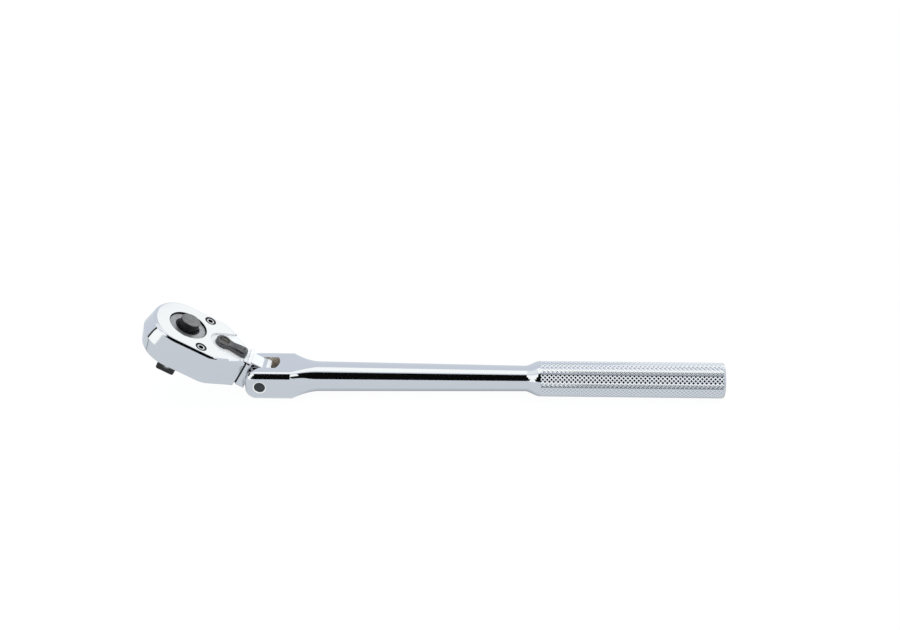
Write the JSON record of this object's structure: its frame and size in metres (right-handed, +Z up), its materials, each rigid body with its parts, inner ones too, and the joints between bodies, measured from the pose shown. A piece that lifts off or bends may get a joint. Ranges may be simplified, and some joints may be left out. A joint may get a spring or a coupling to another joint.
{
  "type": "flex head ratchet",
  "caption": "Square drive ratchet whose head tilts on a pin in the handle's fork, with a reversing lever, a socket release button and a knurled grip.",
  "frame": {"origin": "on the bench below the middle of the tool's length, in its plane of symmetry", "axes": "+X along the handle towards the end of the grip, +Y along the flex pin, +Z up from the bench"},
  "size_m": [0.2892, 0.0344, 0.0464],
  "materials": {
    "chrome": "polished chrome plate on forged steel",
    "black_steel": "satin black oxide",
    "steel": "ground steel",
    "rubber": "matte"
  },
  "bodies": {
    "handle": {"handle": "chrome", "pivot_pin": "black_steel", "friction_spring": "steel"},
    "friction_plunger": {"friction_plunger": "steel"},
    "head": {"head_body": "chrome", "cover_plate": "chrome", "cover_screws": "steel", "lever_seal": "rubber"},
    "drive": {"drive_gear": "black_steel", "snap_ring": "steel", "button_spring": "steel"},
    "button": {"release_button": "black_steel", "release_rod": "steel"},
    "ball": {"detent_ball": "steel"},
    "lever": {"reversing_lever": "black_steel", "lever_screw": "steel", "selector_shaft": "steel", "selector_spring": "steel"},
    "selector_plunger": {"selector_plunger": "steel"},
    "pawl": {"pawl": "steel"}
  },
  "joints": [
    {"name": "head_flex", "type": "hinge", "parent": "handle", "child": "head", "pos_m": [-0.0864, 0, 0.0089], "axis": [0, 1, 0], "range_deg": [-98, 60]},
    {"name": "friction_plunger_slide", "type": "slide", "parent": "handle", "child": "friction_plunger", "axis": [1, 0, 0], "range_m": [0, 0.001], "stiffness_N_per_m": 2000, "deforming": ["friction_spring"]},
    {"name": "drive_spin", "type": "hinge", "parent": "head", "child": "drive", "pos_m": [-0.12511, 0, 0.03125], "axis": [0.5, 0, 0.866], "continuous": true},
    {"name": "button_press", "type": "slide", "parent": "drive", "child": "button", "axis": [-0.5, 0, -0.866], "range_m": [0, 0.0025], "stiffness_N_per_m": 800, "deforming": ["button_spring"]},
    {"name": "ball_retract", "type": "slide", "parent": "drive", "child": "ball", "axis": [0, 1, 0], "range_m": [0, 0.00075]},
    {"name": "lever_turn", "type": "hinge", "parent": "head", "child": "lever", "pos_m": [-0.1084, 0, 0.0216], "axis": [0.5, 0, 0.866], "range_deg": [0, 12]},
    {"name": "pawl_rock", "type": "hinge", "parent": "head", "child": "pawl", "pos_m": [-0.1084, 0, 0.0216], "axis": [0.5, 0, 0.866], "range_deg": [0, 8.4]},
    {"name": "selector_plunger_slide", "type": "slide", "parent": "lever", "child": "selector_plunger", "axis": [-0.8613, 0.1045, 0.4973], "range_m": [0, 0.0008], "stiffness_N_per_m": 600, "deforming": ["selector_spring"]}
  ],
  "couplings": [
    {"joint": "ball_retract", "follows": "button_press", "ratio": 0.3},
    {"joint": "pawl_rock", "follows": "lever_turn", "ratio": 0.7}
  ]
}
